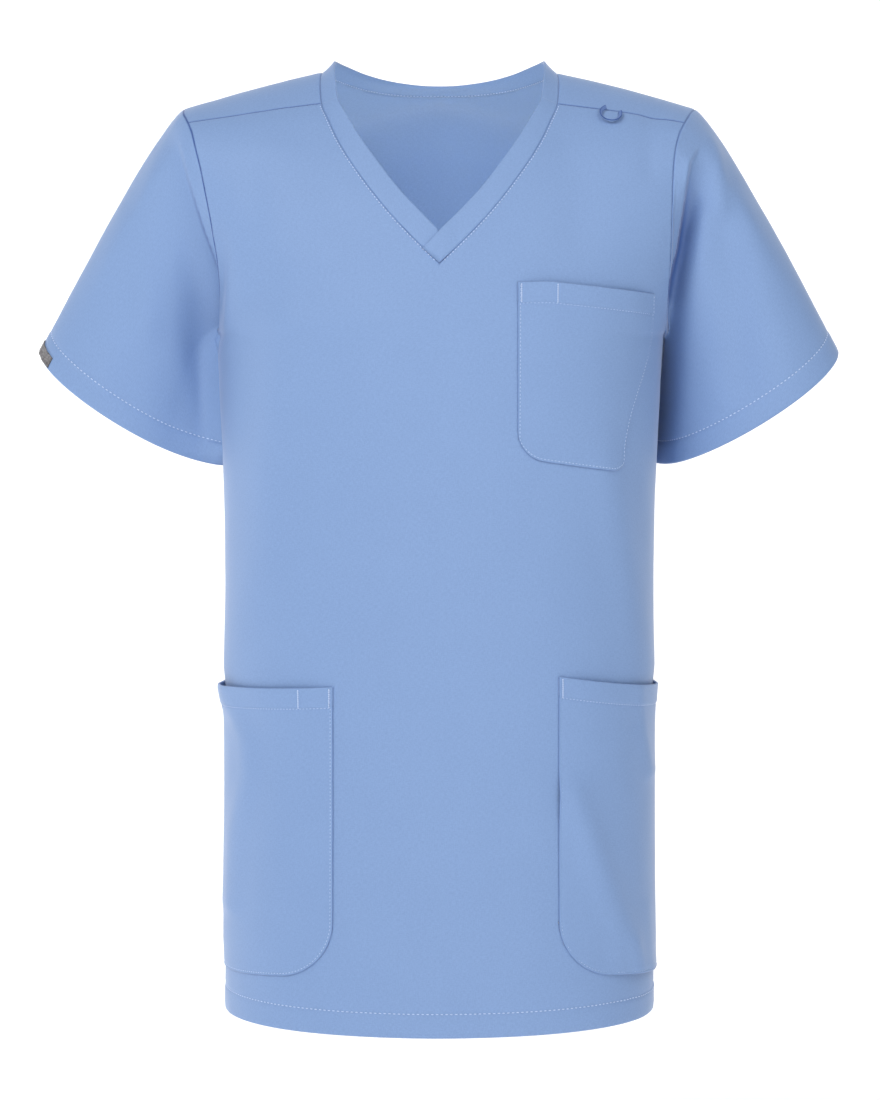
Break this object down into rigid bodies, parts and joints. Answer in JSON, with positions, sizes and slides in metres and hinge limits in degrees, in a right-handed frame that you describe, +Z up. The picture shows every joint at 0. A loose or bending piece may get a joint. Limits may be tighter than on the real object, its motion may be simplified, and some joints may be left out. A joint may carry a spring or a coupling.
{
  "type": "medical scrub top",
  "caption": "Short-sleeved V-neck scrub top in its round worn form, with a chest pocket, lower pockets run into the side seams and a badge loop on the shoulder.",
  "frame": {"origin": "on the centre line, level with the two high shoulder points, where the wearer's neck and shoulders carry the top", "axes": "+Z up the wearer's body, the front faces -Y, the wearer's left is +X"},
  "size_m": [0.5741, 0.249, 0.6821],
  "materials": {
    "scrub_cloth": "matt, finely woven polyester blend with a soft sheen",
    "loop_cloth": "matt narrow tube",
    "label_cloth": "woven label, plain"
  },
  "bodies": {
    "root": {"front_panel": "scrub_cloth", "back_panel": "scrub_cloth", "sleeve_left": "scrub_cloth", "sleeve_right": "scrub_cloth", "neckband_front_left": "scrub_cloth", "neckband_front_right": "scrub_cloth", "neckband_back": "scrub_cloth", "chest_pocket": "scrub_cloth", "lower_pocket_left": "scrub_cloth", "lower_pocket_right": "scrub_cloth", "sleeve_label": "label_cloth", "badge_loop": "loop_cloth"}
  },
  "joints": []
}
